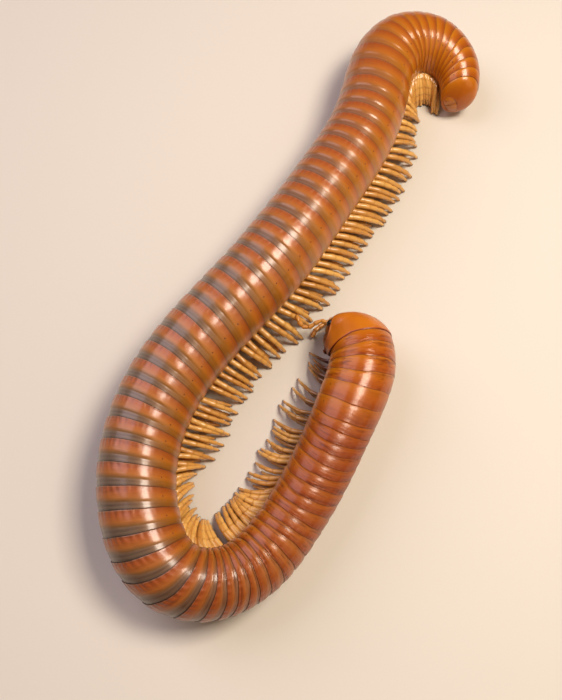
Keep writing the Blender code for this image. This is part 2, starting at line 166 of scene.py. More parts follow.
# Legs: rings 2 to 4 have one pair each and the later ones two, but the last two rings have none
FIRST_DOUBLE_RING = 5
LAST_LEG_RING = 74
SINGLE_PAIR_PLACE = 0.85
PAIR_PLACES = (0.3, 0.8)
# A leg's root: its angle from the belly's middle in degrees, and its start and end as shares of
# the radius
LEG_ROOT_ANGLE = 9
LEG_ROOT_DEPTHS = (0.70, 0.97)
# A spread leg's bends: shares of the way to its tip, of its root's height and of the bow there
SPREAD_BENDS = ((0.42, 0.88, 1.0), (0.80, 0.46, 0.65))
# A folded leg's bends: shares of the radius to the inside, and how far up in mm
FOLDED_BENDS = ((0.22, 0.95), (0.08, 0.85), (0.0, 0.05))
# Distance, and how far the knees there are bowed to the tail in mm; ring, and its legs' girth
LEG_BOWS = ((10, 1.1), (30, 0.9), (50, 0.4), (66, 0.1), (80, -0.3), (150, -0.3))
LEG_GIRTHS = (
    (2, 0.62), (5, 0.75), (8, 0.88), (12, 1.0), (40, 1.0), (46, 1.2), (64, 1.25), (70, 1.0),
    (76, 0.8),
)
# Ring, and how dark its legs are towards their roots: painted shade under the front of the body
LEG_SHADES = ((2, 1.0), (5, 0.8), (8, 0.3), (12, 0.0))
# How high the middle of a leg's tip is, in mm
TIP_RAISE = 0.06
# The right side's legs follow the left ones: their reach as a share, and how far behind in mm
FAR_REACH = 0.86
FAR_BEHIND = 0.62
# How much chance moves a tip inwards and along the body in mm, and a leg's girth as a share
REACH_CHANCE = 0.4
SWEEP_CHANCE = 0.3
GIRTH_CHANCE = 0.08
LEG_SEED = 7
LEG_SIDES = 8
# Distance along the line, and how far the inner legs' tips stand inwards from it in mm
TIPS_INWARD = (
    (0, 7.5), (8, 8.3), (13, 9.3), (16, 10.5), (24, 10.3), (32, 9.7), (40, 10.3), (48, 10.3),
    (54, 9.7), (58, 8.8), (65, 7.7), (69, 7.6), (72, 9.0), (76, 10.2), (82, 11.2), (88, 10.8),
    (96, 10.0), (104, 10.6), (112, 10.3), (140, 10.3), (146, 9.2), (156, 7.8), (164, 8.4),
    (168, 7.2), (172, 5.9), (176, 5.0),
)
# Distance, and how far those tips are swept to the tail in mm, minus being to the head
TIPS_SWEPT = (
    (4, -2.2), (8, -2.6), (13, -2.5), (16, -1.0), (22, 0.2), (26, 1.0), (30, 3.2), (34, 0.6),
    (38, -1.7), (41, -1.5), (44, 0.8), (50, 1.4), (55, 2.6), (60, 3.2), (66, 3.1), (69, 2.0),
    (73, 1.2), (77, 0.5), (82, 1.1), (88, 1.5), (96, 1.1), (102, 0.6), (107, 1.7), (111, 3.0),
    (128, 3.8), (134, 3.1), (139, 2.0), (143, 3.6), (147, 2.3), (152, 0.0), (156, -3.0),
    (160, -2.0), (164, 0.0), (168, 2.4), (172, 3.6), (176, 4.0),
)
# Legs here are folded under, and the others' tips lean together in bunches by this much in mm
TUCKED = ((12.0, 12.8), (18.8, 19.4), (22.3, 22.9), (25.6, 26.4), (42.6, 44.6), (88.0, 89.2))
BUNCH_SIZE = 2
BUNCH_LEAN = 0.55
# The outline of a joint: shares of its length, of its base's girth and of its end's
JOINT_OUTLINE = ((0.02, 0.96, 0.0), (0.15, 1.0, 0.0), (0.80, 0.0, 1.0), (0.97, 0.0, 0.95))
# A limb's blunt tip: where it begins, how much it narrows there, and the radius of its end
LIMB_TIP = (0.985, 0.6, 0.04)
# Each joint of a leg: where it ends along the leg, and its half thickness at its base and end
LEG_JOINTS = (
    (0.16, 0.46, 0.47), (0.33, 0.43, 0.45), (0.50, 0.41, 0.43), (0.66, 0.38, 0.40),
    (0.81, 0.34, 0.36), (0.95, 0.26, 0.24),
)

# The collum: the shield behind the head. Angles are from the middle of the back, in degrees.
# How far it reaches round, its length in mm, and the blunting, lean, flare and size of its dome
COLLUM_REACH = 150
COLLUM_LENGTH = 5.6
COLLUM_BLUNT = 0.8
COLLUM_LEAN = 0.68
COLLUM_FLARE = 0.66
COLLUM_SIZE = 1.02
# Its faces across and along, and how many mm a radian is to its front, side and rear margins
COLLUM_FACES = (160, 56)
FRONT_SCALE = 5.0
SIDE_SCALE = 4.8
REAR_SCALE = 5.5
# Angle, and how far up the dome its front margin is in degrees; angle, and how much of ring 2
# it covers in mm
COLLUM_FRONTS = ((0, 80), (30, 78), (60, 68), (90, 54), (115, 42), (132, 32), (142, 22), (150, 8))
COLLUM_LOBES = ((0, 0.10), (60, 0.15), (90, 0.7), (120, 1.7), (135, 2.0), (150, 1.4))
# Where its lobes begin and where they turn red-brown, each with the degrees that this takes
# Their red-brown is partly their own colour and partly painted shade where they curve down
LOBE_START = (55, 60)
RED_START = (100, 26)
# Its raised rim and grooves: heights as shares of the radius, then places from the margin and
# widths in mm; at the free margin, on the lobes only, and at the rear rim
MARGIN_RELIEF = ((0.010, 0.12, 0.1), (-0.022, 0.0, 0.0548))
LOBE_RELIEF = (
    (-0.010, 0.42, 0.0632), (-0.010, 0.80, 0.0632), (-0.010, 1.2, 0.0632), (-0.010, 1.6, 0.0632),
)
REAR_RELIEF = ((0.004, 0.4, 0.245), (-0.02, 0.0, 0.0775))

# The head: how far the face is nodded down in degrees, its half sizes, and how far it is set to
# the belly, in mm
HEAD_NOD = 38
HEAD_HALF_WIDTH = 3.4
HEAD_HALF_HEIGHT = 3.05
HEAD_HALF_DEPTH = 2.45
HEAD_DOWN = 2.1
# How much it narrows to the mouth and to the crown
MOUTH_NARROWING = 0.20
CROWN_NARROWING = 0.06
# Places and half sizes on the head in mm: to the left, to the front and away from the mouth
SOCKET_PLACE = (1.6, HEAD_HALF_DEPTH * 0.86, 0.85)
EYE_PLACE = (2.5, 0.75, 1.1)
EYE_SIZES = (0.55, 0.68, 0.85)
JAW_PLACE = (2.6, -0.25, -1.35)
JAW_SIZES = (1.25, 1.7, 1.9)
CHIN_PLACE = (0.0, -1.3, -1.4)
CHIN_SIZES = (1.4, 0.9, 1.7)
# The chin's feelers, from its own middle
PALP_PLACES = (
    (-0.75, -0.05, -1.2375), (-0.3, -0.05, -1.395), (0.3, -0.05, -1.395), (0.75, -0.05, -1.2375),
)
PALP_SIZES = (0.17, 0.17, 0.26)
# How deep the grooves of the jaw bases and of the chin are, as shares of their size
JAW_GROOVE_DEPTH = 0.09
CHIN_GROOVE_DEPTH = 0.06
# The eyes' domes in mm, and their rows by number from below the middle to above it
OCELLUS_RADIUS = 0.085
OCELLUS_SPACING = 0.2
OCELLUS_ROWS = range(-2, 4)
ROW_SPACING = OCELLUS_SPACING * 0.9
# How deep the domes are sunk as a share of their radius, and the shares of the eye they fill
OCELLUS_SINK = 0.35
FIELD_HEIGHT = 0.86
FIELD_WIDTH = 0.78
# An antenna's socket: the width and depth of its raised rim and of its pit
SOCKET_DENTS = ((0.62, -0.10), (0.40, 0.45))
# The bristle pits over the lip: their places across, their height and their width
BRISTLE_PLACES = (-1.15, -0.7, -0.25, 0.25, 0.7, 1.15)
BRISTLE_HEIGHT = -2.3
BRISTLE_WIDTH = 0.0632
# How deep the groove over the lip, the pits and the suture are, as shares of the head's size
LIP_GROOVE_DEPTH = 0.022
BRISTLE_DEPTH = 0.02
SUTURE_DEPTH = 0.012
SUTURE_WIDTH = 0.07
# The notch in the lip: its depth and half width
NOTCH_DEPTH = 0.55
NOTCH_WIDTH = 0.55

# Antennae: the root on the head, as the places above
ANTENNA_PLACE = (1.6, 2.4, 0.85)
ANTENNA_SIDES = 16
# Each joint's heading: shares of the head's front, its left, the curl's inside, the tail and up
LEFT_ANTENNA = (
    (1.0, 0.6, 0.0, 0.0, 0.0), (0.2, 0.0, 1.0, 0.0, -0.3), (0.0, 0.0, 1.0, 0.0, -0.5),
    (0.0, 0.0, 1.0, -0.5, -0.4), (0.0, 0.0, 0.4, -1.0, -0.2), (0.0, 0.0, 0.0, -1.0, 0.0),
    (0.0, 0.0, -0.2, -1.0, 0.0),
)
RIGHT_ANTENNA = (
    (1.0, -0.3, 0.0, 0.0, 0.0), (0.3, 0.0, 0.6, -0.2, -0.6), (0.0, 0.0, 1.0, 0.0, -0.4),
    (0.0, 0.0, 1.0, 0.0, -0.15), (0.0, 0.0, 1.0, 0.2, 0.0), (0.0, 0.0, 1.0, 0.5, 0.0),
    (0.0, 0.0, 1.0, 0.8, 0.0),
)
ANTENNA_JOINTS = (
    (0.11, 0.30, 0.38), (0.31, 0.28, 0.40), (0.48, 0.28, 0.41), (0.64, 0.29, 0.42),
    (0.80, 0.30, 0.44), (0.94, 0.32, 0.45), (0.98, 0.30, 0.26),
)

# The end of the tail: its length and how much further its hood reaches in mm, and its outline
TAIL_LENGTH = 1.55
TAIL_HOOD = 0.5
TAIL_OUTLINE = (
    (0.0, 0.975), (0.03, 0.982), (0.08, 0.986), (0.20, 0.985), (0.35, 0.97), (0.50, 0.935),
    (0.64, 0.88), (0.76, 0.80), (0.86, 0.71), (0.94, 0.61), (1.0, 0.52), (1.02, 0.46),
    (1.0, 0.42), (0.94, 0.41), (0.78, 0.44),
)
# How far the hood bends to the belly, from which share of its length, and its mouth's radius
TAIL_BEND = 0.34
TAIL_BEND_START = 0.45
TAIL_MOUTH = 0.45
# Half sizes of a valve: across and up as shares of the mouth's radius, but outwards in mm, as is
# how deep its middle lies
VALVE_SIZES = (1.14, 0.95, 1.24)
VALVE_SINK = 0.72
# Where its inner side is cut flat, and what moves it off the slit, as shares of that radius
VALVE_FLAT = 0.40
VALVE_OFFSET = 0.43

# The point that the camera and the lights look at, and the camera's place and tilt in degrees
AIM = (-0.00448, -0.00968, 0)
CAMERA_PLACE = (-0.00448, -0.05517, 0.12498)
CAMERA_TILT = 20
# Each light: its name, direction from the aim, distance, width, height, watts and colour
LIGHTS = (
    ("key", (0.43, 0.10, 0.90), 0.26, 0.09, 0.09, 0.66, "#FFF4E4"),
    ("lilac", (-0.60, 0.36, 0.72), 0.50, 0.36, 0.44, 1.6, "#E8DEF0"),
    ("warm", (0.70, -0.45, 0.55), 0.50, 0.35, 0.35, 0.40, "#FFE0B8"),
)

# Chitin's index of refraction, which the floor has too
CHITIN_IOR = 1.56
# Settings of the nodes that mix colours, tint one by another, and step softly between bounds
MIXED = {"data_type": "RGBA"}
TINTED = {"data_type": "RGBA", "blend_type": "MULTIPLY"}
SOFT = {"interpolation_type": "SMOOTHSTEP"}

Station = namedtuple("Station", "centre tail belly left inner radius turn roll")


def linear(code):
    """An sRGB hex colour as linear values."""
    parts = [int(code[start:start + 2], 16) / 255 for start in (1, 3, 5)]
    return tuple(c / 12.92 if c <= 0.04045 else ((c + 0.055) / 1.055) ** 2.4 for c in parts)


def table(rows, places):
    """Read a table of (place, value) rows, in straight lines between them."""
    return np.interp(places, [row[0] for row in rows], [row[1] for row in rows])


def bell(gap, width):
    """A soft swelling: 1 where the gap is 0, and 0 well past the width."""
    return np.exp(-(gap / width) ** 2)


def relief(gap, rows):
    """Ridges and grooves from rows of height, place and width, at gaps from an edge."""
    return sum(height * bell(gap - place, width) for height, place, width in rows)


def lay_line():
    """Follow the turns from the head to the tail: x, y, heading, roll and radius at each step."""
    count = int(LINE_LENGTH / LINE_STEP) + 1
    steps = np.arange(count) * LINE_STEP
    turns = np.radians(table(TURNS, steps[:-1] + LINE_STEP / 2))
    headings = math.radians(LINE_HEADING) + np.r_[0, np.cumsum(turns * LINE_STEP)]
    middles = (headings[1:] + headings[:-1]) / 2
    x = LINE_START[0] + np.r_[0, np.cumsum(np.cos(middles) * LINE_STEP)]
    y = LINE_START[1] + np.r_[0, np.cumsum(np.sin(middles) * LINE_STEP)]
    blur = np.hanning(BLUR_STEPS) / np.hanning(BLUR_STEPS).sum()
    smooth = [np.convolve(np.pad(table(rows, steps), BLUR_STEPS // 2, mode="edge"), blur,
                          mode="valid") for rows in (WIDTHS, ROLLS)]
    return steps, x, y, headings, smooth[0] / 2, np.radians(smooth[1])


LINE = lay_line()


def station(distance):
    """The body's centre, directions, radius and turn at distances along its line, in mm."""
    distance = np.atleast_1d(np.asarray(distance, float))
    steps = LINE[0]
    x, y, heading, radius, roll = (np.interp(distance, steps, values) for values in LINE[1:])
    zero = np.zeros_like(x)
    tail = np.stack([np.cos(heading), np.sin(heading), zero], 1)
    inner = np.stack([np.sin(heading), -np.cos(heading), zero], 1)
    cos, sin = np.cos(roll)[:, None], np.sin(roll)[:, None]
    clearance = bpy.context.scene.millipede_body.clearance / MM
    centre = np.stack([x, y, radius + clearance], 1) + tail * np.minimum(distance, 0)[:, None]
    return Station(centre, tail, inner * sin - UP * cos, inner * cos + UP * sin, inner, radius,
                   np.radians(table(TURNS, distance)), roll)


def on_body(distance, left, up):
    """Places in mm at distances along the leaning rings, and at shares of the radius."""
    roll = station(distance).roll
    inwards = left * np.cos(roll) - up * np.sin(roll)
    upwards = left * np.sin(roll) + up * np.cos(roll)
    lean = table(LEANS_IN, distance) * inwards + table(LEANS_UP, distance) * (upwards - 1)
    at = station(distance + lean)
    return at.centre + at.radius[:, None] * (at.left * left[:, None] - at.belly * up[:, None])


def one(at):
    """The station at a single distance, with plain vectors."""
    return Station(*(values[0] for values in at))


def seams():
    """Where each ring ends along the line, by ring number, with the collum as number 1."""
    ends = {FIRST_RING - 1: FIRST_SEAM}
    for ring in range(FIRST_RING, LAST_RING + 1):
        ends[ring] = ends[ring - 1] + float(table(PITCHES, ring))
    return ends


SEAMS = seams()


def lengths():
    """The number and the rings of each length of the trunk."""
    first = FIRST_RING
    for number, last in enumerate(LENGTH_ENDS, 1):
        yield number, range(first, last + 1)
        first = last + 1


def waver(ring, angle):
    """How far the seam behind a ring wavers at angles round the body, in mm."""
    waves = sum(size * np.sin(count * angle + shift * ring) for count, size, shift in SEAM_WAVES)
    return float(table(WAVERS, ring)) * waves


def deselect():
    """Leave edit mode and select nothing, so that an operator acts only on what comes next."""
    if bpy.context.mode != "OBJECT":
        bpy.ops.object.mode_set(mode="OBJECT")
    bpy.ops.object.select_all(action="DESELECT")


def activate(*objects):
    """Select these objects alone, the first as the active one."""
    deselect()
    for item in objects:
        item.select_set(True)
    bpy.context.view_layer.objects.active = objects[0]


def points_of(mesh):
    """A mesh's points as rows of x, y and z."""
    points = np.empty(len(mesh.vertices) * 3)
    mesh.vertices.foreach_get("co", points)
    return points.reshape(-1, 3)


def set_points(mesh, points):
    """Move a mesh's points."""
    mesh.vertices.foreach_set("co", np.asarray(points, np.float32).ravel())
    mesh.update()


def turned(name, outline, sides, closed):
    """A form turned round the X axis by extruding a circle through (x, radius) rows."""
    deselect()
    x, radius = outline[0]
    bpy.ops.mesh.primitive_circle_add(
        vertices=sides, radius=radius, location=(x, 0, 0), rotation=(0, math.pi / 2, 0),
        fill_type="NGON" if closed else "NOTHING")
    body = bpy.context.object
    body.name = name
    bpy.ops.object.transform_apply(location=True, rotation=True, scale=True)
    bpy.ops.object.mode_set(mode="EDIT")
    bpy.ops.mesh.select_all(action="SELECT")
    for next_x, next_radius in outline[1:]:
        bpy.ops.mesh.extrude_edges_move(TRANSFORM_OT_translate={"value": (next_x - x, 0, 0)})
        share = next_radius / radius
        bpy.ops.transform.resize(value=(1, share, share), center_override=(0, 0, 0))
        x, radius = next_x, next_radius
    if closed:
        bpy.ops.mesh.edge_face_add()
    bpy.ops.mesh.select_all(action="SELECT")
    bpy.ops.mesh.normals_make_consistent(inside=False)
    deselect()
    return body


def copy_of(template, name):
    """A copy of an object with its own mesh."""
    twin = template.copy()
    twin.data = template.data.copy()
    twin.name = name
    bpy.context.scene.collection.objects.link(twin)
    return twin


def write_numbers(mesh, name, *numbers):
    """Keep up to four numbers for each point of a mesh, which its material reads."""
    layer = mesh.attributes.new(name, "FLOAT_COLOR", "POINT")
    rows = np.ones((len(mesh.vertices), 4), np.float32)
    for channel, values in enumerate(numbers):
        rows[:, channel] = values
    layer.data.foreach_set("color", rows.ravel())


def join(objects, name):
    """Join objects into one, and name it."""
    activate(*objects)
    if len(objects) > 1:
        bpy.ops.object.join()
    body = bpy.context.object
    body.name = name
    body.data.name = name
    return body


def merge(body, cap):
    """Merge a body's doubled points, and close its open ends if asked."""
    activate(body)
    bpy.ops.object.mode_set(mode="EDIT")
    bpy.ops.mesh.select_all(action="SELECT")
    bpy.ops.mesh.remove_doubles(threshold=MERGE_DISTANCE)
    if cap:
        bpy.ops.mesh.select_all(action="DESELECT")
        bpy.ops.mesh.select_mode(type="EDGE")
        bpy.ops.mesh.select_non_manifold()
        bpy.ops.mesh.edge_face_add()
        bpy.ops.mesh.select_mode(type="VERT")
    bpy.ops.mesh.select_all(action="SELECT")
    bpy.ops.mesh.normals_make_consistent(inside=False)
    deselect()


def ball(name, sizes, segments=48, rings=32):
    """A round form with its half sizes, for shaping: across, to the front and up."""
    deselect()
    bpy.ops.mesh.primitive_uv_sphere_add(segments=segments, ring_count=rings, radius=1)
    body = bpy.context.object
    body.name = name
    bpy.ops.object.mode_set(mode="EDIT")
    bpy.ops.mesh.select_all(action="SELECT")
    bpy.ops.transform.resize(value=sizes, center_override=(0, 0, 0))
    deselect()
    return body


def dent(points, place, size, depth):
    """Push the points near a place on the head in towards its middle, or out if minus."""
    gap = np.linalg.norm(points - place, axis=1)
    return points * (1 - depth * bell(gap, size) / np.linalg.norm(points, axis=1))[:, None]


def shade(body, angle=None):
    """Shade a body smooth, or smooth up to an angle between faces."""
    activate(body)
    if angle is None:
        bpy.ops.object.shade_smooth()
    else:
        bpy.ops.object.shade_smooth_by_angle(angle=math.radians(angle))


def dress(body, material, slot, *nodes):
    """Finish a piece: its material, its slot, which is not used, what it stands for, and what it
    rides on.
    """
    body.data.materials.clear()
    body.data.materials.append(material)
    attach(body, "root")
    if nodes:
        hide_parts(*nodes)


def rgba(colour):
    """An sRGB hex colour or linear values, with alpha."""
    return (*(linear(colour) if isinstance(colour, str) else colour), 1)


def fill(node, inputs):
    """Set or link a node's inputs. Another node stands for its first output."""
    for name, value in inputs.items():
        socket = node.inputs[name]
        if isinstance(value, bpy.types.Node):
            value = next(output for output in value.outputs if output.enabled)
        if isinstance(value, bpy.types.NodeSocket):
            node.id_data.links.new(value, socket)
        else:
            socket.default_value = rgba(value) if socket.type == "RGBA" else value


def add_node(tree, kind, *values, stops=(), **more):
    """Add a shader node: its kind or, in capitals, the sum or function that it works out.

    The values go to its inputs in order. Names with a capital are inputs too and the others are
    settings, and the stops are a ramp's rows of a place and a colour.
    """
    node = tree.nodes.new("ShaderNodeMath" if kind.isupper() else "ShaderNode" + kind)
    if kind.isupper():
        node.operation = kind
    for name, value in more.items():
        if name[0].islower():
            setattr(node, name, value)
    used = [number for number, socket in enumerate(node.inputs) if socket.enabled]
    fill(node, dict(zip(used, values)))
    fill(node, {name: value for name, value in more.items() if name[0].isupper()})
    for number, (place, colour) in enumerate(stops):
        elements = node.color_ramp.elements
        if number == 0:
            elements.remove(elements[1])
            elements[0].position = place
        stop = elements.new(place) if number else elements[0]
        stop.color = rgba(colour)
    return node


def new_material(name):
    """A node material with what adds a node to it, and its shader."""
    material = bpy.data.materials.new(name)
    material.use_nodes = True
    shader = material.node_tree.nodes["Principled BSDF"]
    shader.inputs["IOR"].default_value = CHITIN_IOR
    return material, partial(add_node, material.node_tree), shader


def read_numbers(add, name):
    """The four numbers that a mesh keeps for its material."""
    numbers = add("Attribute", attribute_name=name)
    return *add("SeparateColor", numbers).outputs[:3], numbers.outputs["Alpha"]


def grain(add, place, scale, depth, **under):
    """The fine grain of chitin, with so many waves to the metre."""
    return add("Bump", Height=add("TexNoise", Vector=place, Scale=scale), Distance=depth, **under)


def gloss(shader, colour, rough, coat, coat_rough, **more):
    """Give a shader its colour, its roughness and the clear wax over it."""
    fill(shader, {"Base Color": colour, "Roughness": rough, "Coat Weight": coat,
                  "Coat Roughness": coat_rough, **more})


def measure(name, default, description):
    """A length that a user may change."""
    return FloatProperty(name=name, description=description, default=default, unit="LENGTH")


def paint(name, code, description):
    """A colour that a user may change, from its sRGB hex code."""
    return FloatVectorProperty(name=name, description=description, default=linear(code), size=3,
                               min=0, max=1, subtype="COLOR")


class BodySizes(PropertyGroup):
    """Sizes of the rings, the neck shield and the antennae."""

    clearance: measure("Clearance", 0.0016, "Height of the body above the floor")
    undercut: measure("Undercut", 0.00014, "Depth of the fold under a ring's rim")
    shield: measure("Neck shield", 0.0003, "Thickness of the neck shield")
    antenna: measure("Antenna", 0.0066, "Length of an antenna")
    ring_sides: IntProperty(
        name="Ring sides", description="Faces round one ring", default=96, min=16)
    belly_flat: FloatProperty(
        name="Belly", description="Height of the flat belly as a share of the radius",
        default=0.93, subtype="FACTOR")


class BodyColours(PropertyGroup):
    """Colours of the limbs and the plain plates."""

    leg: paint("Leg", "#E6B05C", "The amber of the legs")
    leg_seam: paint("Leg seam", "#C08234", "The darker amber between a leg's joints")
    antenna: paint("Antenna", "#D08A34", "The amber of the antennae")
    antenna_seam: paint("Antenna seam", "#96541C", "The brown between an antenna's joints")
    shield: paint("Neck shield", "#BC6408", "The orange of the neck shield")
    shield_cloud: paint("Neck shield clouds", "#C66F08", "The paler clouds on the neck shield")
    jaw: paint("Jaw", "#48200F", "The dark brown of the jaw bases")
    jaw_cloud: paint("Jaw clouds", "#6A3416", "The paler clouds on the jaw bases")
    valve: paint("Valve", "#A4580C", "The orange-brown of the tail valves")
    valve_cloud: paint("Valve clouds", "#B0660E", "The paler clouds on the tail valves")


class StageSizes(PropertyGroup):
    """The studio: camera, floor and lights."""

    lens: FloatProperty(
        name="Lens", description="Focal length in mm on a 36 mm sensor", default=41.14)
    floor_size: measure("Floor", 3.0, "Width of the floor")
    floor: paint("Floor colour", "#D8CFC2", "The pale floor")
    light: FloatProperty(
        name="Room light", description="Strength of the light from all round", default=0.17)


def ring_material():
    """Waxed chitin, grown as rings: smooth and glossy, banded, with shallow flutes and creases.

    It gives a warm, wet-looking shine broken at every rim, and colour that deepens to the rear.
    """
    material, add, shader = new_material("glossy chitin rings")
    band, grey, around, dark = read_numbers(add, "ring")
    number, crease, warm, pitch = read_numbers(add, "wear")
    place = add("TexCoord").outputs["Object"]
    # Blotches of about 4 mm shift the middle of the bands a little, as growth does
    blotch = add("TexNoise", Vector=place, Scale=250.0, Detail=3.0, Roughness=0.6)
    inside = add("MULTIPLY", band, add("SUBTRACT", 1.0, band))
    moved = add("MULTIPLY_ADD", inside, add("MULTIPLY_ADD", blotch, 0.5, -0.25), band)
    # The back is redder and the flanks more ochre: painted warm light reflected onto the flanks.
    # The grey bands are palest on the back, where their grey-lilac is partly the grey of the
    # front parts and partly painted sheen.
    back = add("MapRange", around, 0.45, 0.85, **SOFT)
    # The dark ends of each ramp are the seam: partly brown chitin and partly painted shade in its
    # fold. The paler stops at 0.97 are a painted highlight on the rear rim.
    orange = add("ValToRGB", moved, stops=(
        (0.0, "#84440E"), (0.06, "#B8700F"), (0.30, "#C4780E"), (0.60, "#BA680C"),
        (0.90, "#A4520C"), (0.97, "#A8581A"), (1.0, "#74380C")))
    red = add("MULTIPLY", back, add("MULTIPLY_ADD", warm, -0.8, 1.0))
    orange = add("Mix", red, orange, "#E8BCA0", **TINTED)
    flank = add("ValToRGB", moved, stops=(
        (0.0, "#3C2A1A"), (0.05, "#6A4C26"), (0.28, "#7C5A2C"), (0.40, "#A06C2A"),
        (0.56, "#BE762A"), (0.78, "#B0622A"), (0.93, "#9E5824"), (1.0, "#4A2208")))
    # Painted sheen: the banded rings' back, paler and grey-lilac over the orange and the grey
    painted_sheen_bands = add("ValToRGB", moved, stops=(
        (0.0, "#44362C"), (0.04, "#64584C"), (0.12, "#7C6C5C"), (0.20, "#68584A"),
        (0.28, "#7E6A58"), (0.36, "#8C683E"), (0.52, "#B87434"), (0.80, "#B2602A"),
        (0.93, "#A65A2C"), (0.97, "#AC7450"), (1.0, "#3C2010")))
    banded = add("Mix", back, flank, painted_sheen_bands, **MIXED)
    greyed = add("MULTIPLY", grey, add("MULTIPLY_ADD", back, 0.4, 0.6))
    colour = add("Mix", greyed, orange, banded, **MIXED)
    deep = add("MULTIPLY", dark, add("MULTIPLY_ADD", back, 0.25, 0.75))
    colour = add("Mix", deep, colour, "#BE9056", **TINTED)
    # Flutes about 1.2 mm apart on the back near the rear rim
    rear = add("MapRange", band, 0.50, 0.92, **SOFT)
    flutes = add("SINE", add("MULTIPLY_ADD", around, 100.0, add("MULTIPLY", blotch, 9.0)))
    worn = add("MULTIPLY", rear, add("MULTIPLY_ADD", grey, 2.2, 0.2))
    flutes = add("MULTIPLY", add("MULTIPLY", flutes, worn), back)
    # Creases that run round each ring, stronger near the head, with painted shade darkening the
    # colour along them
    run = add("CombineXYZ", add("MULTIPLY", around, 4.5), add("MULTIPLY", band, 4.0),
              add("MULTIPLY", number, RING_SCALE / 2))
    folds = add("TexNoise", Vector=run, Scale=1.0, Detail=3.0, Roughness=0.55)
    lines = add("ValToRGB", folds, stops=(
        (0.30, "#A88A60"), (0.48, "#FFFFFF"), (0.62, "#FFFFFF"), (0.75, "#D0B080")))
    colour = add("Mix", crease, colour, lines, **TINTED)
    # The gland pores: one dark dot of 0.3 mm on each flank of a ring
    beside = add("MULTIPLY", add("SUBTRACT", around, 0.52), 18.0)
    along = add("MULTIPLY", add("SUBTRACT", band, 0.56), add("MULTIPLY", pitch, PITCH_SCALE))
    near = add("SQRT", add("ADD", add("MULTIPLY", beside, beside), add("MULTIPLY", along, along)))
    pore = add("MapRange", near, 0.06, 0.15, 1.0, 0.0, **SOFT)
    colour = add("Mix", pore, colour, "#5C2E10", **MIXED)
    # Striae 0.4 mm apart on the flanks, and a fine grain over all
    low = add("MapRange", around, 0.30, 0.42, 1.0, 0.0, **SOFT)
    striae = add("MULTIPLY", add("SINE", add("MULTIPLY", around, 290.0)),
                 add("MULTIPLY", low, rear))
    height = add("MULTIPLY_ADD", striae, 0.4, flutes)
    height = add("MULTIPLY_ADD", add("MULTIPLY", folds, crease), 10.0, height)
    height = add("MULTIPLY_ADD", pore, -3.0, height)
    bump = add("Bump", Height=height, Distance=0.00002)
    # The darker rings are duller, and the grey and the warm ones have more wax
    rough = add("MULTIPLY_ADD", dark, 0.16, add("MULTIPLY_ADD", grey, 0.08, 0.26))
    wax = add("MULTIPLY_ADD", warm, 0.2, add("MULTIPLY_ADD", dark, -0.2, 0.24))
    wax = add("MULTIPLY_ADD", grey, 0.45, wax)
    bump = grain(add, place, 3000.0, 0.000008, Normal=bump)
    gloss(shader, colour, rough, wax, 0.19, Normal=bump)
    fill(shader, {"Specular IOR Level": 0.34, "Specular Tint": "#FFE0CC"})
    return material


def leg_material(name, light, dark):
    """Clear amber chitin of the limbs: glossy tubes that darken at each joint."""
    material, add, shader = new_material(name)
    inside, along, chance, shade_in = read_numbers(add, "leg")
    colour = add("ValToRGB", inside, stops=(
        (0.0, dark), (0.08, light), (0.88, light), (1.0, dark)))
    claw = add("MapRange", along, 0.94, 0.98, **SOFT)
    colour = add("Mix", claw, colour, "#5A2E10", **MIXED)
    tint = add("ValToRGB", chance, stops=((0.0, "#DCC8B0"), (1.0, "#FFFFFF")))
    colour = add("Mix", 1.0, colour, tint, **TINTED)
    # Painted shade: the legs of the first rings darken towards their roots, under the head and
    # collum
    root = add("MapRange", along, 0.55, 0.95, 1.0, 0.0, **SOFT)
    colour = add("Mix", add("MULTIPLY", shade_in, root), colour, "#5E3424", **MIXED)
    gloss(shader, colour, 0.3, 0.3, 0.15)
    return material


def collum_material(plain, cloud):
    """Polished chitin of the neck shield: even orange, and red-brown on its creased lobes, in
    part painted shade.
    """
    material, add, shader = new_material("orange neck shield")
    margin, lobe, rear, _ = read_numbers(add, "collum")
    place = add("TexCoord").outputs["Object"]
    clouds = add("TexNoise", Vector=place, Scale=400.0, Detail=3.0)
    colour = add("ValToRGB", clouds, stops=((0.3, plain), (0.7, cloud)))
    # Red-brown for the lobes, partly their own colour and partly painted shade; its darker
    # stripes are painted shade along the grooves by the margin
    creased = add("ValToRGB", margin, stops=(
        (0.0, "#6A3418"), (0.10, "#84441F"), (0.22, "#924C26"), (0.30, "#6E341A"),
        (0.42, "#94502A"), (0.56, "#74381C"), (0.75, "#965222"), (1.0, "#8E4A1C")))
    colour = add("Mix", lobe, colour, creased, **MIXED)
    # Darker into the rear rim's seam: partly brown chitin and partly painted shade
    edge = add("ValToRGB", rear, stops=((0.0, "#5A2408"), (0.04, "#B87840"), (0.14, "#FFFFFF")))
    colour = add("Mix", 1.0, colour, edge, **TINTED)
    gloss(shader, colour, 0.38, 0.15, 0.2, Normal=grain(add, place, 3000.0, 0.00001))
    return material


def chitin(name, dark, light, scale, rough=0.32):
    """Plain glossy chitin, in two shades that drift over the piece."""
    material, add, shader = new_material(name)
    place = add("TexCoord").outputs["Object"]
    clouds = add("TexNoise", Vector=place, Scale=scale, Detail=3.0)
    colour = add("ValToRGB", clouds, stops=((0.35, dark), (0.65, light)))
    gloss(shader, colour, rough, 0.3, 0.15, Normal=grain(add, place, 4000.0, 0.00001))
    return material


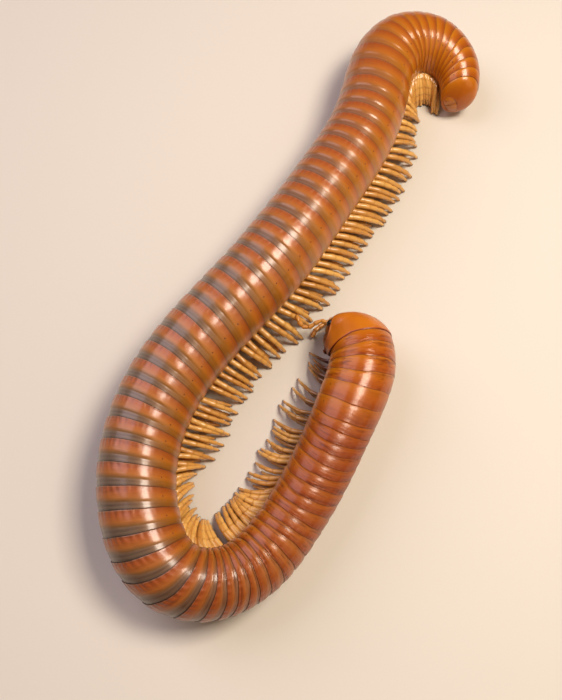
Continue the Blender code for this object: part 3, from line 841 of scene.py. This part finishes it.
def head_material():
    """Glossy chitin of the head: chestnut, with a dark suture and a paler edge at the mouth."""
    material, add, shader = new_material("chestnut head chitin")
    across, up, pit, _ = read_numbers(add, "head")
    face = add("ValToRGB", up, stops=(
        (0.0, "#3A1A0C"), (0.10, "#A86A2C"), (0.22, "#8A4A18"), (0.5, "#70330E"),
        (1.0, "#5A260C")))
    line = add("ValToRGB", across, stops=(
        (0.0, "#2A1206"), (0.03, "#B08870"), (0.08, "#FFFFFF")))
    face = add("Mix", add("MapRange", up, 0.48, 0.60, **SOFT), face, line, **TINTED)
    gloss(shader, add("Mix", pit, face, "#1E0E06", **MIXED), 0.30, 0.3, 0.15)
    return material


def model_ring(sides):
    """One ring with radius 1 and length 1 along X, upright, with its belly flattened."""
    ring = turned("ring_template", RING_OUTLINE, sides, closed=False)
    points = points_of(ring.data)
    belly = bpy.context.scene.millipede_body.belly_flat
    height = np.hypot(points[:, 1], points[:, 2])
    points[:, 2] = np.maximum(points[:, 2], -belly * height)
    set_points(ring.data, points)
    return ring


def place_ring(template, ring):
    """A copy of the ring, bent along the body's line between its two seams."""
    body = copy_of(template, f"ring_{ring:02d}")
    sizes = bpy.context.scene.millipede_body
    x, y, z = points_of(template.data).T
    middle = one(station((SEAMS[ring - 1] + SEAMS[ring]) / 2))
    angle = np.arctan2(y, -z)
    front = SEAMS[ring - 1] + waver(ring - 1, angle)
    back = SEAMS[ring] + waver(ring, angle)
    undercut = sizes.undercut / MM
    # The rings gape on the outside of a bend and close up inside it
    inwards = middle.radius * (y * math.cos(middle.roll) - z * math.sin(middle.roll))
    spacing = np.maximum(1 + middle.turn * inwards, CLOSEST)
    neck = np.clip(float(table(NECK_SHARES, ring)) * spacing ** 0.5, *NECK_BOUNDS)
    size = np.hypot(y, z)
    bulge = float(table(BULGES, ring)) * (2 * x.clip(0, 1) - 1) ** 2
    radius = 1 + (size - 1) * float(table(RELIEFS, ring)) - bulge
    y, z = y * radius / size, z * radius / size
    share = np.where(x < NECK_END, x / NECK_END * neck,
                     neck + (x - NECK_END) / (1 - NECK_END) * (1 - neck))
    distance = front + share * (back - front)
    distance = np.where(x < 0, front + x / TUCK * undercut, distance)
    distance = np.where(x > 1, back - (x - 1) / TUCK * undercut, distance)
    set_points(body.data, on_body(distance, y, z) * MM)
    write_numbers(body.data, "ring", x, table(GREYS, ring), abs(angle) / math.pi,
                  table(DARKS, ring))
    pitch = SEAMS[ring] - SEAMS[ring - 1] if ring >= FIRST_PORE_RING else NO_PORE
    write_numbers(body.data, "wear", ring / RING_SCALE, table(CREASES, ring),
                  table(WARMTHS, ring), pitch / PITCH_SCALE)
    return body


class MILLIPEDE_OT_trunk(Operator):
    """Model the trunk's rings in lengths"""

    bl_idname = "millipede.trunk"
    bl_label = "Trunk rings"

    def execute(self, context):
        template = model_ring(context.scene.millipede_body.ring_sides)
        material = ring_material()
        for number, rings in lengths():
            body = join([place_ring(template, ring) for ring in rings], f"rings_{number:02d}")
            merge(body, cap=True)
            shade(body, 40)
            dress(body, material, "ring_shell", f"trunk_{number:02d}")
        bpy.data.objects.remove(template)
        return {"FINISHED"}


def joint_outline(joints):
    """The outline of a jointed limb of length 1: each joint is narrow at its base."""
    outline = []
    start = 0.0
    for end, base, wide in joints:
        outline += [(start + (end - start) * place, base * narrow + wide * broad)
                    for place, narrow, broad in JOINT_OUTLINE]
        start = end
    place, narrow, point = LIMB_TIP
    return [*outline, (place, outline[-1][1] * narrow), (1.0, point)]


def joint_shares(template, joints):
    """How far each point is along a jointed limb, and along its own joint."""
    starts = np.array([0.0, *(row[0] for row in joints)])
    x = points_of(template.data)[:, 0]
    joint = np.clip(np.searchsorted(starts, x, side="right") - 1, 0, len(joints) - 1)
    return x, ((x - starts[joint]) / np.diff(starts)[joint]).clip(0, 1)


def leg_points(distance, side, number, chance):
    """The bent line of one leg in mm, from inside the body to its tip on the floor."""
    at = one(station(distance))
    angle = math.radians(LEG_ROOT_ANGLE) * side
    spoke = at.belly * math.cos(angle) + at.left * math.sin(angle)
    sunk, root = (at.centre + spoke * at.radius * depth for depth in LEG_ROOT_DEPTHS)
    floor = np.array((at.centre[0], at.centre[1], 0.0))
    if any(start < distance < end for start, end in TUCKED):
        folds = [floor + at.inner * at.radius * run + UP * up for run, up in FOLDED_BENDS]
        return [sunk, root, *folds]
    base = np.array((root[0], root[1], 0.0))
    bow = table(LEG_BOWS, distance)
    inwards = table(TIPS_INWARD, distance) + chance.uniform(-REACH_CHANCE, REACH_CHANCE)
    lean = BUNCH_LEAN * (0.5 - number % BUNCH_SIZE) + chance.uniform(-SWEEP_CHANCE, SWEEP_CHANCE)
    if side < 0:
        inwards *= FAR_REACH
        lean += FAR_BEHIND
    tip = floor + at.inner * inwards + at.tail * (table(TIPS_SWEPT, distance) + lean)
    tip += UP * TIP_RAISE
    bends = [
        base + (tip - base) * share + UP * root[2] * height + at.tail * bow * bowed
        for share, height, bowed in SPREAD_BENDS
    ]
    return [sunk, root, *bends, tip]


def curve_through(points, count=41):
    """A smooth line through points, read evenly along its length."""
    points = np.array(points)
    ends = [2 * points[0] - points[1], *points, 2 * points[-1] - points[-2]]
    rows = []
    for before, a, b, after in zip(ends, ends[1:], ends[2:], ends[3:]):
        for t in np.linspace(0, 1, 12, endpoint=False):
            rows.append(a + t / 2 * (
                b - before + (2 * before - 5 * a + 4 * b - after) * t
                + (3 * a - before - 3 * b + after) * t ** 2))
    rows = np.array([*rows, points[-1]])
    run = np.r_[0, np.cumsum(np.linalg.norm(np.diff(rows, axis=0), axis=1))]
    places = np.linspace(0, run[-1], count)
    return np.stack([np.interp(places, run, rows[:, axis]) for axis in range(3)], 1)


def lay_along(template, line, across_hint, girth=1.0):
    """The template's points, with its X axis laid along a line in mm."""
    x, y, z = points_of(template.data).T
    y, z = y * girth, z * girth
    places = np.linspace(0, 1, len(line))
    ahead = np.gradient(line, axis=0)
    ahead /= np.linalg.norm(ahead, axis=1)[:, None]
    across = np.cross(across_hint, ahead)
    across /= np.linalg.norm(across, axis=1)[:, None]
    above = np.cross(ahead, across)
    centre, across, above = (
        np.stack([np.interp(x, places, rows[:, axis]) for axis in range(3)], 1)
        for rows in (line, across, above))
    return centre + across * y[:, None] + above * z[:, None]


def place_legs(template, ring, count, chance):
    """One ring's legs, as bent copies. The count is of the pairs before them."""
    x, inside = joint_shares(template, LEG_JOINTS)
    front, back = SEAMS[ring - 1], SEAMS[ring]
    shares = (SINGLE_PAIR_PLACE,) if ring < FIRST_DOUBLE_RING else PAIR_PLACES
    legs = []
    for number, share in enumerate(shares, count + 1):
        for side in (1, -1):
            points = leg_points(front + (back - front) * share, side, number, chance)
            girth = table(LEG_GIRTHS, ring) * chance.uniform(1 - GIRTH_CHANCE, 1 + GIRTH_CHANCE)
            leg = copy_of(template, "leg")
            set_points(leg.data, lay_along(template, curve_through(points), UP, girth) * MM)
            write_numbers(leg.data, "leg", inside, x, chance.random(), table(LEG_SHADES, ring))
            legs.append(leg)
    return legs


class MILLIPEDE_OT_legs(Operator):
    """Model one leg and set its copies under the trunk"""

    bl_idname = "millipede.legs"
    bl_label = "Legs"

    def execute(self, context):
        colours = context.scene.millipede_colours
        template = turned("leg_template", joint_outline(LEG_JOINTS), LEG_SIDES, closed=True)
        material = leg_material("amber leg chitin", colours.leg, colours.leg_seam)
        chance = random.Random(LEG_SEED)
        count = 0
        for number, rings in lengths():
            legs = []
            for ring in rings:
                if ring <= LAST_LEG_RING:
                    legs += place_legs(template, ring, count + len(legs) // 2, chance)
            count += len(legs) // 2
            body = join(legs, f"legs_{number:02d}")
            shade(body)
            dress(body, material, None, f"trunk_{number:02d}")
        bpy.data.objects.remove(template)
        return {"FINISHED"}


def head_axes():
    """The head's centre and its directions to its left, to its front and away from the mouth."""
    at = one(station(0))
    nod = math.radians(HEAD_NOD)
    front = at.belly * math.sin(nod) - at.tail * math.cos(nod)
    mouth = at.belly * math.cos(nod) + at.tail * math.sin(nod)
    return at.centre + at.belly * HEAD_DOWN, at.left, front, -mouth


def on_head(points):
    """Places in mm on the head's own axes."""
    centre, *axes = head_axes()
    return centre + np.asarray(points) @ np.array(axes)


def model_collum():
    """The neck shield: a grid bent over the first ring, flared and creased at its lobes."""
    deselect()
    wide, long = COLLUM_FACES
    bpy.ops.mesh.primitive_grid_add(x_subdivisions=wide, y_subdivisions=long, size=2)
    body = bpy.context.object
    body.name = "collum_shield"
    across, along, _ = points_of(body.data).T
    angle = abs(across * COLLUM_REACH)
    end = table(COLLUM_FRONTS, angle)
    # Rows stand closer at the front margin and the rear rim
    share = 0.5 + 0.5 * np.sin(along * math.pi / 2)
    climb = np.radians(end) * share
    lobe, red = (np.clip((angle - start) / over, 0, 1) for start, over in (LOBE_START, RED_START))
    to_front = np.radians(end) * (1 - share) * FRONT_SCALE
    margin = np.minimum(to_front, np.radians(COLLUM_REACH - angle) * SIDE_SCALE)
    to_rear = share * np.radians(end) * REAR_SCALE
    lift = (relief(margin, MARGIN_RELIEF) + lobe * relief(margin, LOBE_RELIEF)
            + relief(to_rear, REAR_RELIEF))
    scale = np.cos(climb) ** COLLUM_BLUNT
    distance = (FIRST_SEAM + table(COLLUM_LOBES, angle) * np.cos(climb) ** 2
                - COLLUM_LENGTH * np.sin(climb))
    turn = np.radians(across * COLLUM_REACH)
    flare = COLLUM_FLARE * np.maximum(-np.cos(turn), 0) ** 1.6 * (0.1 + 0.9 * share)
    left = np.sin(turn) * scale * (COLLUM_SIZE + flare + 0.03 * lobe + lift)
    points = on_body(distance, left, np.cos(turn) * scale * (COLLUM_SIZE + lift))
    at = station(distance)
    lean = at.radius * (1 - scale) * COLLUM_LEAN
    set_points(body.data, (points + at.inner * lean[:, None]) * MM)
    write_numbers(body.data, "collum", (margin / 3).clip(0, 1), red, (to_rear / 2).clip(0, 1))
    return body


class MILLIPEDE_OT_collum(Operator):
    """Model the collum, the creased shield that covers the back of the head"""

    bl_idname = "millipede.collum"
    bl_label = "Neck shield"

    def execute(self, context):
        colours = context.scene.millipede_colours
        body = model_collum()
        solid = body.modifiers.new("thickness", "SOLIDIFY")
        solid.thickness = context.scene.millipede_body.shield
        solid.offset = 1
        activate(body)
        bpy.ops.object.modifier_apply(modifier=solid.name)
        merge(body, cap=False)
        shade(body, 40)
        material = collum_material(colours.shield, colours.shield_cloud)
        dress(body, material, "collum_shell", "collum")
        return {"FINISHED"}


def model_head():
    """The head capsule: a smooth forehead, antenna sockets, and a lip notched over the mouth."""
    body = ball("head_capsule", (HEAD_HALF_WIDTH, HEAD_HALF_DEPTH, HEAD_HALF_HEIGHT), 128, 96)
    points = points_of(body.data)
    up = points[:, 2] / HEAD_HALF_HEIGHT
    low = np.clip(-up, 0, 1)
    face = np.clip(points[:, 1] / HEAD_HALF_DEPTH, 0, 1)
    points[:, 0] *= 1 - MOUTH_NARROWING * low ** 2
    points[:, 1] *= 1 - CROWN_NARROWING * np.clip(up, 0, 1)
    for side in (1, -1):
        for size, depth in SOCKET_DENTS:
            points = dent(points, np.array(SOCKET_PLACE) * (side, 1, 1), size, depth)
    # A groove over the lip, a row of bristle pits, the suture, and the notch in the middle
    middle = abs(points[:, 0])
    groove = bell(up + 0.66 + 0.04 * middle, 0.02) * face * (middle < 2.2)
    pits = sum(bell(np.hypot(points[:, 0] - place, points[:, 2] - BRISTLE_HEIGHT), BRISTLE_WIDTH)
               for place in BRISTLE_PLACES) * face
    points *= 1 - (LIP_GROOVE_DEPTH * groove + BRISTLE_DEPTH * pits)[:, None]
    suture = bell(middle, SUTURE_WIDTH) * np.clip((up - 0.1) / 0.3, 0, 1)
    points *= 1 - SUTURE_DEPTH * suture[:, None]
    notch = np.exp(-(middle / NOTCH_WIDTH) ** 4) * np.clip((low - 0.72) / 0.28, 0, 1)
    points[:, 2] += NOTCH_DEPTH * notch * (points[:, 1] > -0.8)
    set_points(body.data, on_head(points) * MM)
    write_numbers(body.data, "head", (middle / 2).clip(0, 1), (up + 1) / 2, pits.clip(0, 1))
    shade(body)
    return body


def model_eye(side):
    """One eye: a dark field of small domes in rows, by the antenna's root."""
    body = ball("eye", EYE_SIZES, 32, 20)
    set_points(body.data, points_of(body.data) + EYE_PLACE)
    dome = ball("ocellus", (OCELLUS_RADIUS,) * 3, 10, 6)
    domes = [body]
    for row in OCELLUS_ROWS:
        up = row * ROW_SPACING
        width = math.sqrt(max(0, 1 - (up / EYE_SIZES[2] / FIELD_HEIGHT) ** 2))
        count = int(2 * width * EYE_SIZES[1] * FIELD_WIDTH / OCELLUS_SPACING) + 1
        for number in range(count):
            front = (number - (count - 1) / 2) * OCELLUS_SPACING
            out = 1 - (front / EYE_SIZES[1]) ** 2 - (up / EYE_SIZES[2]) ** 2
            lens = copy_of(dome, "ocellus_copy")
            bulge = EYE_SIZES[0] * math.sqrt(max(out, 0.02)) - OCELLUS_RADIUS * OCELLUS_SINK
            spot = np.array((bulge, front, up)) + EYE_PLACE
            set_points(lens.data, points_of(lens.data) + spot)
            domes.append(lens)
    bpy.data.objects.remove(dome)
    word = "left" if side > 0 else "right"
    body = join(domes, f"eye_field_{word}")
    set_points(body.data, on_head(points_of(body.data) * (side, 1, 1)) * MM)
    merge(body, cap=False)
    shade(body, 40)
    return body


def model_cheek(side):
    """One cheek: the base of a jaw, with the grooves between its hinge and its stem."""
    body = ball("cheek_left" if side > 0 else "cheek_right", JAW_SIZES, 64, 44)
    points = points_of(body.data)
    # One groove slants across it, and a fainter one runs down it to the mouth
    groove = bell(points[:, 2] - 0.55 + 0.25 * points[:, 1], 0.10)
    edge = bell(points[:, 1] - 0.55 + 0.2 * points[:, 2], 0.07) * (points[:, 2] < 0.4)
    points *= 1 - JAW_GROOVE_DEPTH * (groove + 0.7 * edge).clip(0, 1)[:, None]
    set_points(body.data, on_head((points + JAW_PLACE) * (side, 1, 1)) * MM)
    merge(body, cap=False)
    shade(body)
    return body


def model_chin():
    """The chin: a plate of five lobes under the mouth, with four small feelers on its edge."""
    plate = ball("chin", CHIN_SIZES, 64, 44)
    points = points_of(plate.data)
    across, height = abs(points[:, 0]), points[:, 2]
    # Grooves part the side lobes, halve the part near the mouth, and cross the other end
    groove = bell(across - 0.42 - 0.12 * height, 0.05) + bell(across, 0.04) * (height < 0.2)
    groove += bell(height - 0.55 + across * 0.5, 0.06)
    set_points(plate.data, points * (1 - CHIN_GROOVE_DEPTH * groove.clip(0, 1)[:, None]))
    palps = [plate]
    for place in PALP_PLACES:
        palp = ball("palp", PALP_SIZES, 16, 10)
        set_points(palp.data, points_of(palp.data) + place)
        palps.append(palp)
    body = join(palps, "chin_lobes")
    set_points(body.data, on_head(points_of(body.data) + CHIN_PLACE) * MM)
    merge(body, cap=False)
    shade(body)
    return body


class MILLIPEDE_OT_head(Operator):
    """Model the head with its eyes, cheeks and chin"""

    bl_idname = "millipede.head"
    bl_label = "Head"

    def execute(self, context):
        dress(model_head(), head_material(), "head_shell", "head")
        glass = chitin("black eye lenses", "#0A0706", "#17110D", 3000.0, 0.12)
        colours = context.scene.millipede_colours
        jaw = chitin("dark jaw chitin", colours.jaw, colours.jaw_cloud, 900.0)
        for side, word in ((1, "left"), (-1, "right")):
            dress(model_eye(side), glass, "eye", f"eye_{word}")
            dress(model_cheek(side), jaw, "jaw", f"jaw_{word}")
        dress(model_chin(), chitin("chin plate chitin", "#5A2E14", "#7E4A22", 900.0),
              None, "chin_plate")
        return {"FINISHED"}


def antenna_points(side):
    """The antenna's line in mm: out of the face, then bent to the inside of the curl."""
    step = bpy.context.scene.millipede_body.antenna / MM / len(LEFT_ANTENNA)
    _, left, front, _ = head_axes()
    at = one(station(0))
    points = [on_head(np.array(ANTENNA_PLACE) * (side, 1, 1))]
    for shares in LEFT_ANTENNA if side > 0 else RIGHT_ANTENNA:
        heading = np.array(shares) @ np.array((front, left, at.inner, at.tail, UP))
        points.append(points[-1] + heading / np.linalg.norm(heading) * step)
    return points


class MILLIPEDE_OT_antennae(Operator):
    """Model one antenna of seven joints and lay it along both routes"""

    bl_idname = "millipede.antennae"
    bl_label = "Antennae"

    def execute(self, context):
        colours = context.scene.millipede_colours
        outline = joint_outline(ANTENNA_JOINTS)
        template = turned("antenna_template", outline, ANTENNA_SIDES, closed=True)
        material = leg_material("amber antenna chitin", colours.antenna, colours.antenna_seam)
        x, inside = joint_shares(template, ANTENNA_JOINTS)
        for side, word in ((1, "left"), (-1, "right")):
            body = copy_of(template, f"feeler_{word}")
            line = curve_through(antenna_points(side))
            set_points(body.data, lay_along(template, line, UP) * MM)
            write_numbers(body.data, "leg", inside, x * 0.9, 1.0, 0.0)
            shade(body)
            dress(body, material, "antenna", f"antenna_{word}")
        bpy.data.objects.remove(template)
        return {"FINISHED"}


def model_hood():
    """The last ring, drawn out into a hood over the valves."""
    body = turned("tail_hood", TAIL_OUTLINE, 96, closed=False)
    x, y, z = points_of(body.data).T
    hood = np.clip((z / np.hypot(y, z) + 0.3) / 1.3, 0, 1) ** 1.5
    # The hood bends down to the belly side as it reaches back over the valves
    bent = TAIL_BEND * np.clip((x - TAIL_BEND_START) / (1 - TAIL_BEND_START), 0, 1) ** 1.5
    distance = SEAMS[LAST_RING] + x * (TAIL_LENGTH + TAIL_HOOD * hood)
    points = on_body(distance, y, z - bent)
    set_points(body.data, points * MM)
    write_numbers(body.data, "ring", np.where(x < 0.05, x * 10, np.clip(x * 0.55 + 0.3, 0, 0.96)),
                  0.0, abs(np.arctan2(y, -z)) / math.pi, 0.1)
    write_numbers(body.data, "wear", 1.0, 0.1, 1.0, NO_PORE)
    merge(body, cap=True)
    shade(body, 50)
    return body, points[(abs(x - 1) < 0.001) & (np.hypot(y, z) < TAIL_MOUTH)]


def model_valve(side, mouth):
    """One of the two valves that fill the hood's mouth, given by the points round it."""
    centre = mouth.mean(axis=0)
    at = one(station(SEAMS[LAST_RING]))
    out = np.linalg.svd(mouth - centre)[2][2]
    out *= np.sign(out @ at.tail)
    across = at.left - out * (at.left @ out)
    across /= np.linalg.norm(across)
    axes = np.array((across, out, np.cross(across, out)))
    wide = np.linalg.norm(mouth - centre, axis=1).mean()
    valve = ball("valve_left" if side > 0 else "valve_right", VALVE_SIZES, 56, 36)
    x, y, z = points_of(valve.data).T
    # The inner side is flat at the slit, with a raised lip along it
    lip = 1 + 0.06 * bell(x + VALVE_FLAT, 0.20)
    x = np.maximum(x, -VALVE_FLAT) + VALVE_OFFSET
    rows = np.stack([x * side * wide, y * lip - VALVE_SINK, z * lip * wide], 1)
    set_points(valve.data, (centre + rows @ axes) * MM)
    merge(valve, cap=False)
    shade(valve, 50)
    return valve


class MILLIPEDE_OT_tail(Operator):
    """Model the last ring with its hood, and the two lipped valves under it"""

    bl_idname = "millipede.tail"
    bl_label = "Tail"

    def execute(self, context):
        colours = context.scene.millipede_colours
        hood, mouth = model_hood()
        dress(hood, bpy.data.materials["glossy chitin rings"], "tail_shell", "tail_ring")
        lip = chitin("tail valve chitin", colours.valve, colours.valve_cloud, 700.0)
        for side, word in ((1, "left"), (-1, "right")):
            dress(model_valve(side, mouth), lip, None, f"tail_valve_{word}")
        return {"FINISHED"}


class MILLIPEDE_OT_stage(Operator):
    """Set the pale floor, the soft lights and the camera"""

    bl_idname = "millipede.stage"
    bl_label = "Stage"

    def execute(self, context):
        sizes = context.scene.millipede_stage
        deselect()
        bpy.ops.mesh.primitive_plane_add(size=sizes.floor_size)
        floor = context.object
        floor.name = "floor"
        material, _, shader = new_material("pale matt floor")
        fill(shader, {"Base Color": sizes.floor, "Roughness": 0.8})
        floor.data.materials.append(material)
        for name, way, away, wide, high, power, colour in LIGHTS:
            way = Vector(way).normalized()
            deselect()
            bpy.ops.object.light_add(type="AREA", location=Vector(AIM) + way * away)
            lamp = context.object
            lamp.name = name
            lamp.rotation_euler = way.to_track_quat("Z", "Y").to_euler()
            lamp.data.shape = "RECTANGLE"
            lamp.data.size = wide
            lamp.data.size_y = high
            lamp.data.energy = power
            lamp.data.color = linear(colour)
        world = bpy.data.worlds.new("soft studio")
        context.scene.world = world
        world.use_nodes = True
        fill(world.node_tree.nodes["Background"], {"Color": "#CFC8C0", "Strength": sizes.light})
        deselect()
        tilt = (math.radians(CAMERA_TILT), 0, 0)
        bpy.ops.object.camera_add(location=CAMERA_PLACE, rotation=tilt)
        camera = context.object
        camera.name = "camera"
        camera.data.lens = sizes.lens
        camera.data.sensor_width = 36
        camera.data.clip_start = 0.005
        context.scene.camera = camera
        context.scene.view_settings.view_transform = "Standard"
        return {"FINISHED"}


class MILLIPEDE_PT_panel(Panel):
    """Sizes, colours and steps of the millipede"""

    bl_idname = "MILLIPEDE_PT_panel"
    bl_label = "Millipede"
    bl_space_type = "VIEW_3D"
    bl_region_type = "UI"
    bl_category = "Millipede"

    def draw(self, context):
        for name in GROUPS:
            group = getattr(context.scene, name)
            for key in group.__annotations__:
                self.layout.prop(group, key)
        for step in STEPS:
            self.layout.operator(step.bl_idname)


GROUPS = {
    "millipede_body": BodySizes,
    "millipede_colours": BodyColours,
    "millipede_stage": StageSizes,
}
STEPS = (
    MILLIPEDE_OT_trunk, MILLIPEDE_OT_legs, MILLIPEDE_OT_collum, MILLIPEDE_OT_head,
    MILLIPEDE_OT_antennae, MILLIPEDE_OT_tail, MILLIPEDE_OT_stage,
)


def register():
    """Make the sizes, colours, steps and panel known to the program."""
    for kind in (*GROUPS.values(), *STEPS, MILLIPEDE_PT_panel):
        bpy.utils.register_class(kind)
    for name, kind in GROUPS.items():
        setattr(bpy.types.Scene, name, PointerProperty(type=kind))


def unregister():
    """Take them away again."""
    for name in GROUPS:
        delattr(bpy.types.Scene, name)
    for kind in reversed((*GROUPS.values(), *STEPS, MILLIPEDE_PT_panel)):
        bpy.utils.unregister_class(kind)


def main():
    """Model the millipede step by step."""
    register()
    for step in STEPS:
        group, name = step.bl_idname.split(".")
        getattr(getattr(bpy.ops, group), name)()


if __name__ == "__main__":
    main()
